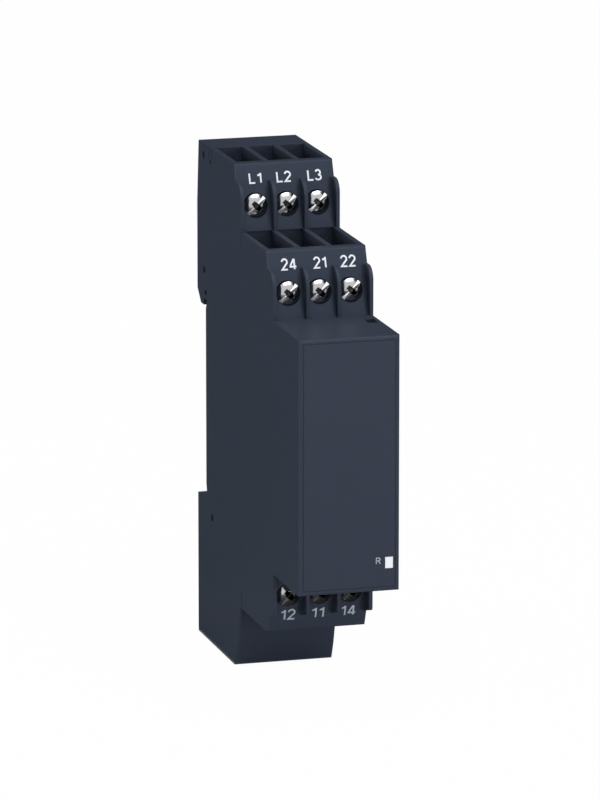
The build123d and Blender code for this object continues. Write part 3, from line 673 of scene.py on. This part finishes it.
print("screw tree with", len(screw_tree.nodes), "nodes")

# %% Run the tree for each screw
def socket_id(tree, title):
    """Identifier of a named input of a tree, by which a modifier stores its value."""
    for item in tree.interface.items_tree:
        if item.item_type == "SOCKET" and item.in_out == "INPUT" and item.name == title:
            return item.identifier
    return None


def grown(name, mesh, tree, values):
    """Mesh that a tree makes from a mesh, with named input values."""
    thing = solid_object(name, mesh)
    modifier = thing.modifiers.new("grow", "NODES")
    modifier.node_group = tree
    for title, value in values.items():
        modifier[socket_id(tree, title)] = value
    return applied(thing)


TERMINALS = ("l1", "l2", "l3", "24", "21", "22", "12", "11", "14")
# A small angle keeps the flat slot floors flat in shading, next to their narrow bevels
FLAT_ANGLE = radians(14)
for terminal in TERMINALS:
    node = f"clamp_screw_{terminal}"
    low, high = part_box(node)
    seat = low[1] + CROWN
    mesh = grown(f"{terminal}_form", head_mesh.copy(), screw_tree, {
        "Place": ((low[0] + high[0]) / 2, seat, (low[2] + high[2]) / 2),
        "Length": high[1] - seat,
        "Finish": screw_metal,
    })
    piece = add_piece(f"terminal_screw_{terminal}", mesh, screw_metal, node, FLAT_ANGLE)
    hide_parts(node)
print("made", len(TERMINALS), "screws of", len(mesh.polygons), "faces each")

# %% [markdown]
# ## Spring of the rail clip
# Behind the clip a small compression spring pushes it up to the rail. The solid in the frame
# has a wire with flat sides. Here it is a round wire on a spiral, from a second small tree.
# It shortens as the clip is pulled.

# %% Build the tree of the spring
spring_tree = bpy.data.node_groups.new("wound_spring", "GeometryNodeTree")
spring_tree.is_modifier = True
face = spring_tree.interface
face.new_socket(name="Geometry", in_out="INPUT", socket_type="NodeSocketGeometry")
for title, kind, value in (
        ("Place", "NodeSocketVector", (0, 0, 0)), ("Turns", "NodeSocketFloat", 6.0),
        ("Radius", "NodeSocketFloat", 1.27 * MM), ("Wire Radius", "NodeSocketFloat", 0.22 * MM),
        ("Height", "NodeSocketFloat", 10.0 * MM), ("Finish", "NodeSocketMaterial", None)):
    socket = face.new_socket(name=title, in_out="INPUT", socket_type=kind)
    if value is not None:
        socket.default_value = value
face.new_socket(name="Geometry", in_out="OUTPUT", socket_type="NodeSocketGeometry")
gate = spring_tree.nodes.new("NodeGroupInput")
result = spring_tree.nodes.new("NodeGroupOutput")
coil = geo(spring_tree, "GeometryNodeCurveSpiral")
coil.inputs["Resolution"].default_value = 40
for title, source in (("Rotations", "Turns"), ("Start Radius", "Radius"), ("End Radius", "Radius"),
                      ("Height", "Height")):
    wire(spring_tree, gate.outputs[source], coil, title)
section = geo(spring_tree, "GeometryNodeCurvePrimitiveCircle", mode="RADIUS")
section.inputs["Resolution"].default_value = 14
wire(spring_tree, gate.outputs["Wire Radius"], section, "Radius")
swept = geo(spring_tree, "GeometryNodeCurveToMesh")
swept.inputs["Fill Caps"].default_value = True
wire(spring_tree, coil.outputs["Curve"], swept, "Curve")
wire(spring_tree, section.outputs["Curve"], swept, "Profile Curve")
placed = geo(spring_tree, "GeometryNodeTransform")
wire(spring_tree, swept.outputs["Mesh"], placed, "Geometry")
wire(spring_tree, gate.outputs["Place"], placed, "Translation")
real = geo(spring_tree, "GeometryNodeRealizeInstances")
wire(spring_tree, placed.outputs["Geometry"], real, "Geometry")
paint = geo(spring_tree, "GeometryNodeSetMaterial")
wire(spring_tree, real.outputs["Geometry"], paint, "Geometry")
wire(spring_tree, gate.outputs["Finish"], paint, "Material")
wire(spring_tree, paint.outputs["Geometry"], result, "Geometry")
print("spring tree with", len(spring_tree.nodes), "nodes")

# %% Grow the spring in the place of its solid
WIRE_RADIUS = 0.225 * MM
low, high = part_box("clip_spring")
spring_mesh = grown("spring_form", bpy.data.meshes.new("empty"), spring_tree, {
    "Place": ((low[0] + high[0]) / 2, (low[1] + high[1]) / 2, low[2] + WIRE_RADIUS),
    "Radius": (high[0] - low[0]) / 2 - WIRE_RADIUS,
    "Wire Radius": WIRE_RADIUS,
    "Height": high[2] - low[2] - 2 * WIRE_RADIUS,
    "Finish": spring_steel,
})
spring = add_piece("clip_spring_wire", spring_mesh, spring_steel, "case")
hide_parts("clip_spring")
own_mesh(spring)
print("spring", round(1000 * (high[2] - low[2]), 1), "mm long")

# %% [markdown]
# ## Printed terminal numbers
# Each clamp has its number above or below it in white print, which is greyer on the lowest
# level. A font's outlines could be used, but this case has plain strokes of even width with
# a bare figure one. So every figure is a few centre lines, and a helper lays a flat stroke of
# even width along them. The print sits on a face that bends where the ribs begin, so it is
# split at that height and then dropped on to the face, a hair proud of it.

# %% Centre lines of each figure, in a box one unit high
def arc(x, y, rx, ry, start, end, steps=14):
    """Points on part of an ellipse, angles in degrees."""
    angles = [radians(start + (end - start) * i / steps) for i in range(steps + 1)]
    return [(x + rx * cos(a), y + ry * sin(a)) for a in angles]


FIGURES = {
    "L": (0.50, [[(0.0, 1.0), (0.0, 0.0), (0.50, 0.0)]]),
    "1": (0.36, [[(0.32, 1.0), (0.32, 0.0)], [(0.02, 0.76), (0.18, 0.80), (0.32, 0.95)]]),
    "2": (0.56, [arc(0.28, 0.72, 0.26, 0.28, 172, -28) + [(0.36, 0.42), (0.02, 0.0), (0.56, 0.0)]]),
    "3": (0.56, [arc(0.27, 0.75, 0.24, 0.25, 160, -90), arc(0.27, 0.26, 0.28, 0.26, 90, -160)]),
    "4": (0.60, [[(0.44, 0.0), (0.44, 1.0)], [(0.40, 0.98), (0.02, 0.29)],
                 [(-0.03, 0.25), (0.62, 0.25)]]),
    "R": (0.56, [[(0.0, 0.0), (0.0, 1.0)],
                 [(0.0, 1.0), *arc(0.28, 0.76, 0.24, 0.24, 90, -90), (0.0, 0.52)],
                 [(0.28, 0.52), (0.54, 0.0)]]),
}
print(len(FIGURES), "figures drawn")

# %% Stroke of even width along a centre line
SHARPEST_MITRE = 0.45


def ribbon(points, width):
    """Left and right edges of a stroke along a centre line, with mitred corners."""
    left, right = [], []
    for i, point in enumerate(points):
        here = Vector(point)
        before = (here - Vector(points[i - 1])).normalized() if i else None
        after = (Vector(points[i + 1]) - here).normalized() if i + 1 < len(points) else None
        run = ((before or after) + (after or before)).normalized()
        across = Vector((-run.y, run.x))
        straight = Vector((-(before or after).y, (before or after).x))
        reach = width / 2 / max(across.dot(straight), SHARPEST_MITRE)
        left.append(here + across * reach)
        right.append(here - across * reach)
    return left, right


edges = ribbon([(0, 0), (0, 1), (1, 1)], 0.2)
print("outer corner of a test stroke at", [round(v, 2) for v in edges[0][1]])

# %% Finishes of the print and the faces that carry it
print_white, _, _ = make_finish(
    "print_white", linear(228, 231, 235), 0.5, tone=0.06, grain_depth=0.000002,
    edge_radius=0.00002, edge_gain=0.5, edge_color=linear(215, 218, 222))
print_grey, _, _ = make_finish(
    "print_grey", linear(168, 174, 184), 0.5, tone=0.06, grain_depth=0.000002,
    edge_radius=0.00002, edge_gain=0.5, edge_color=linear(150, 156, 166))

# Slanted face of each level: (height, depth) in millimetres from the outer edge inwards
UPPER_FACE = ((45.95, -19.45), (43.05, -20.65), (34.5, -23.2))
MIDDLE_FACE = ((34.5, -40.4), (31.6, -41.6), (23.05, -44.15))
LOWER_FACE = ((-33.4, -40.4), (-30.5, -41.6), (-21.95, -44.15))
FRONT_FACE = ((22.0, -61.3), (-20.0, -61.3))


def depth_at(face_line, height):
    """Depth of a face at a height, in millimetres."""
    for (z0, y0), (z1, y1) in zip(face_line, face_line[1:]):
        share = (height - z0) / (z1 - z0)
        if share <= 1.0:
            break
    return y0 + share * (y1 - y0)


print("print at height 43.5 lies at depth", round(depth_at(UPPER_FACE, 43.5), 2), "mm")

# %% Helper that lays a text on a face
PRINT_LIFT = 0.02 * MM
PRINT_BODY = 0.03 * MM
# Where strokes cross, each lies a little higher than the one before it
STROKE_STEP = 0.003 * MM
FIGURE_GAP = 0.24


def lay_print(name, text, box, face_line, stroke, finish):
    """Prints text into box (left, right, bottom, top) in millimetres on a face."""
    left, right, bottom, top = box
    height = top - bottom - stroke
    unit_width = sum(FIGURES[c][0] for c in text) + FIGURE_GAP * (len(text) - 1)
    stretch = (right - left - stroke) / unit_width
    form = bmesh.new()
    order = form.verts.layers.float.new("order")
    drawn = 0
    cursor = left + stroke / 2
    for character in text:
        width, strokes = FIGURES[character]
        for points in strokes:
            line = [(cursor + x * stretch, bottom + stroke / 2 + y * height) for x, y in points]
            edges = ribbon(line, stroke)
            first, second = ([form.verts.new((p.x, 0, p.y)) for p in edge] for edge in edges)
            for vert in first + second:
                vert[order] = drawn
            drawn += 1
            for i in range(len(line) - 1):
                form.faces.new((first[i], first[i + 1], second[i + 1], second[i]))
        cursor += (width + FIGURE_GAP) * stretch
    bmesh.ops.recalc_face_normals(form, faces=form.faces)
    for z, _ in face_line[1:-1]:
        bmesh.ops.bisect_plane(form, geom=form.verts[:] + form.edges[:] + form.faces[:],
                               plane_co=(0, 0, z), plane_no=(0, 0, 1))
    sheet = form.faces[:]
    raised = bmesh.ops.extrude_face_region(form, geom=sheet)
    top_verts = {v for v in raised["geom"] if isinstance(v, bmesh.types.BMVert)}
    for vert in form.verts:
        lift = PRINT_LIFT + PRINT_BODY if vert in top_verts else PRINT_LIFT / 4
        vert.co.y = depth_at(face_line, vert.co.z) - (lift + vert[order] * STROKE_STEP) / MM
    bmesh.ops.scale(form, vec=(MM, MM, MM), verts=form.verts)
    bmesh.ops.recalc_face_normals(form, faces=form.faces)
    mesh = bpy.data.meshes.new(name)
    form.to_mesh(mesh)
    form.free()
    piece = add_piece(name, mesh, finish, "case")
    return piece


print("print stands", round(1000 * (PRINT_LIFT + PRINT_BODY), 2), "mm proud")

# %% Print the terminal numbers and the indicator's letter
STROKE = 0.29
SMALL_STROKE = 0.16
PRINTS = (
    ("L1", (-6.60, -4.22, 42.52, 44.42), UPPER_FACE),
    ("L2", (-1.60, 1.12, 42.52, 44.42), UPPER_FACE),
    ("L3", (4.05, 6.66, 42.52, 44.42), UPPER_FACE),
    ("24", (-6.60, -3.78, 31.2, 33.2), MIDDLE_FACE),
    ("21", (-0.80, 1.62, 31.2, 33.2), MIDDLE_FACE),
    ("22", (4.06, 6.89, 31.2, 33.2), MIDDLE_FACE),
    ("12", (-6.86, -4.08, -31.27, -29.15), LOWER_FACE),
    ("11", (-1.25, 1.20, -31.27, -29.15), LOWER_FACE),
    ("14", (4.10, 6.91, -31.27, -29.15), LOWER_FACE),
)
for text, box, face_line in PRINTS:
    finish = print_grey if face_line is LOWER_FACE else print_white
    lay_print(f"print_{text}", text, box, face_line, STROKE, finish)
lay_print("print_R", "R", (4.75, 5.65, -17.1, -15.9), FRONT_FACE, SMALL_STROKE, print_grey)
print("printed", len(PRINTS) + 1, "labels")

# %% [markdown]
# ## The studio
# The background of the photograph is plain white. One large lamp stands high above the case
# and models its steps, a small one lights it evenly from the front, and a third one lights
# its left side. The world adds a little even light. The camera and mirror-like metal see a
# white world. The floor mixes its own shading with white, so that a faint shadow stays.
# Cards that only reflections can see shape the bright screws, as a photographer's flags do.

# %% World
AMBIENT_STRENGTH = 0.10

world = bpy.data.worlds.new("studio")
bpy.context.scene.world = world
world.use_nodes = True
tree = world.node_tree
tree.nodes.clear()
path = tree.nodes.new("ShaderNodeLightPath")
seen = math_node(tree, "MAXIMUM", path.outputs["Is Camera Ray"], path.outputs["Is Glossy Ray"])
seen = math_node(tree, "MAXIMUM", seen, path.outputs["Is Transmission Ray"])
ambient = tree.nodes.new("ShaderNodeBackground")
ambient.inputs["Color"].default_value = linear(240, 245, 255)
ambient.inputs["Strength"].default_value = AMBIENT_STRENGTH
white = tree.nodes.new("ShaderNodeBackground")
white.inputs["Strength"].default_value = 1.0
white.inputs["Color"].default_value = (1, 1, 1, 1)
blend = tree.nodes.new("ShaderNodeMixShader")
sky = tree.nodes.new("ShaderNodeOutputWorld")
tree.links.new(seen, blend.inputs["Fac"])
tree.links.new(ambient.outputs["Background"], blend.inputs[1])
tree.links.new(white.outputs["Background"], blend.inputs[2])
tree.links.new(blend.outputs["Shader"], sky.inputs["Surface"])
print("world", world.name, "with ambient light of", AMBIENT_STRENGTH)

# %% Paint of the floor
FLOOR_WHITE = 0.985

floor_paint = bpy.data.materials.new("floor_paint")
floor_paint.use_nodes = True
tree = floor_paint.node_tree
paper = tree.nodes["Principled BSDF"]
paper.inputs["Base Color"].default_value = (0.86, 0.86, 0.86, 1)
paper.inputs["Roughness"].default_value = 0.9
glow = tree.nodes.new("ShaderNodeEmission")
glow.inputs["Strength"].default_value = 1.0
path = tree.nodes.new("ShaderNodeLightPath")
seen = math_node(tree, "MAXIMUM", path.outputs["Is Camera Ray"], path.outputs["Is Glossy Ray"])
seen = math_node(tree, "MULTIPLY", seen, FLOOR_WHITE)
blend = tree.nodes.new("ShaderNodeMixShader")
tree.links.new(seen, blend.inputs["Fac"])
tree.links.new(paper.outputs["BSDF"], blend.inputs[1])
tree.links.new(glow.outputs["Emission"], blend.inputs[2])
tree.links.new(blend.outputs["Shader"], tree.nodes["Material Output"].inputs["Surface"])
print("paint", floor_paint.name, "is white for the camera by", FLOOR_WHITE)

# %% Lay the floor
FLOOR_HEIGHT = cad_box[0][2] - 0.1 * MM
FLOOR_SIZE = 12.0


def add_card(name, centre, normal, width, height, material):
    """Flat rectangle that faces along normal."""
    form = bmesh.new()
    corners = [form.verts.new((x * width / 2, y * height / 2, 0))
               for x, y in ((-1, -1), (1, -1), (1, 1), (-1, 1))]
    form.faces.new(corners)
    turn = Vector(normal).to_track_quat("Z", "Y").to_matrix().to_4x4()
    form.transform(Matrix.Translation(Vector(centre)) @ turn)
    mesh = bpy.data.meshes.new(name)
    form.to_mesh(mesh)
    form.free()
    mesh.materials.append(material)
    card = bpy.data.objects.new(name, mesh)
    bpy.context.collection.objects.link(card)
    return card


add_card("floor", (0, 0, FLOOR_HEIGHT), (0, 0, 1), FLOOR_SIZE, FLOOR_SIZE, floor_paint)
print("floor at", round(1000 * FLOOR_HEIGHT, 2), "mm")

# %% Lamps
LAMP_TARGET = Vector((0, -0.03, 0))
KEY_POWER, LEFT_POWER, FRONT_POWER = 11.8, 6.4, 5.4
SLIGHTLY_COOL = (0.98, 0.98, 1.0)
COOL = (0.94, 0.99, 1.0)


def add_lamp(name, place, size, power, color):
    """Square soft lamp at place, aimed at the case."""
    data = bpy.data.lights.new(name, "AREA")
    data.shape = "SQUARE"
    data.size = size
    data.energy = power
    data.color = color
    lamp = bpy.data.objects.new(name, data)
    bpy.context.collection.objects.link(lamp)
    aim = (LAMP_TARGET - Vector(place)).to_track_quat("-Z", "Y").to_matrix().to_4x4()
    lamp.matrix_world = Matrix.Translation(Vector(place)) @ aim
    return lamp


add_lamp("key_lamp", (0.05, -0.42, 1.15), 0.9, KEY_POWER, SLIGHTLY_COOL)
add_lamp("left_lamp", (-1.2, 0.12, 0.25), 0.5, LEFT_POWER, COOL)
front_lamp = add_lamp("front_lamp", (0.30, -1.1, 0.10), 0.3, FRONT_POWER, SLIGHTLY_COOL)
# Mirrored in the polished heads, this small lamp would be a hard white square
front_lamp.visible_glossy = False
print("lamps of", KEY_POWER, LEFT_POWER, "and", FRONT_POWER, "W")

# %% [markdown]
# ## Cards for the reflections
# A polished dome mirrors nearly the whole room, so what stands round it decides how it looks.
# These cards are hidden from the camera and from soft light, and only mirror-like rays meet
# them. The faded one lies in front of the case. It is grey at its left end and black at its
# right end, so the heads darken towards the lower right. A small bright one is what the flat
# floors of the slots mirror. The others hide the white world on the right, behind the case
# and at the horizon.

# %% Paints of the cards
CARD_BLACK = (0.01, 0.01, 0.01, 1)
FADE_FROM, FADE_TO = -0.10, 0.01
FADE_GREY, FADE_BLACK = 0.80, 0.04
GLINT_STRENGTH = 3.0

flag_black = bpy.data.materials.new("flag_black")
flag_black.use_nodes = True
card_shader = flag_black.node_tree.nodes["Principled BSDF"]
card_shader.inputs["Base Color"].default_value = CARD_BLACK
card_shader.inputs["Roughness"].default_value = 1.0


def glowing_material(name):
    """Material that only emits, as (material, node tree, emission node)."""
    material = bpy.data.materials.new(name)
    material.use_nodes = True
    tree = material.node_tree
    glow = tree.nodes.new("ShaderNodeEmission")
    tree.links.new(glow.outputs["Emission"], tree.nodes["Material Output"].inputs["Surface"])
    return material, tree, glow


flag_faded, tree, soft_glow = glowing_material("flag_faded")
along = tree.nodes.new("ShaderNodeSeparateXYZ")
card_place = tree.nodes.new("ShaderNodeTexCoord")
tree.links.new(card_place.outputs["Object"], along.inputs["Vector"])
fade = tree.nodes.new("ShaderNodeMapRange")
tree.links.new(along.outputs["X"], fade.inputs["Value"])
for title, value in (("From Min", FADE_FROM), ("From Max", FADE_TO),
                     ("To Min", FADE_GREY), ("To Max", FADE_BLACK)):
    fade.inputs[title].default_value = value
tree.links.new(fade.outputs["Result"], soft_glow.inputs["Strength"])
bright_card, tree, card_glow = glowing_material("bright_card")
card_glow.inputs["Strength"].default_value = GLINT_STRENGTH
print("card paints:", flag_black.name, flag_faded.name, bright_card.name)

# %% Place the cards
ON_FLOOR = FLOOR_HEIGHT + 0.5 * MM
OVER_FLOOR = FLOOR_HEIGHT + 1.0 * MM
CARDS = (
    ("flag_right", (0.45, -0.06, 0.15), (-1, 0.2, 0), 0.6, 0.9, flag_black),
    ("flag_back", (0, 0.7, 0.45), (0, -1, 0), 3.0, 1.1, flag_black),
    ("flag_front", (0.05, -0.15, ON_FLOOR), (0, 0, 1), 0.9, 0.37, flag_faded),
    ("flag_horizon", (0.1, -1.0, 0.03), (0, 1, 0), 0.9, 0.15, flag_black),
    ("glint_card", (0.09, -0.38, OVER_FLOOR), (0, 0, 1), 0.20, 0.20, bright_card),
    ("flag_low", (0, 0.225, ON_FLOOR), (0, 0, 1), 2.4, 0.95, flag_black),
)
for name, centre, normal, width, height, paint in CARDS:
    card = add_card(name, centre, normal, width, height, paint)
    card.visible_camera = False
    card.visible_diffuse = False
    card.visible_shadow = False
    card.visible_transmission = False
print("placed", len(CARDS), "cards")
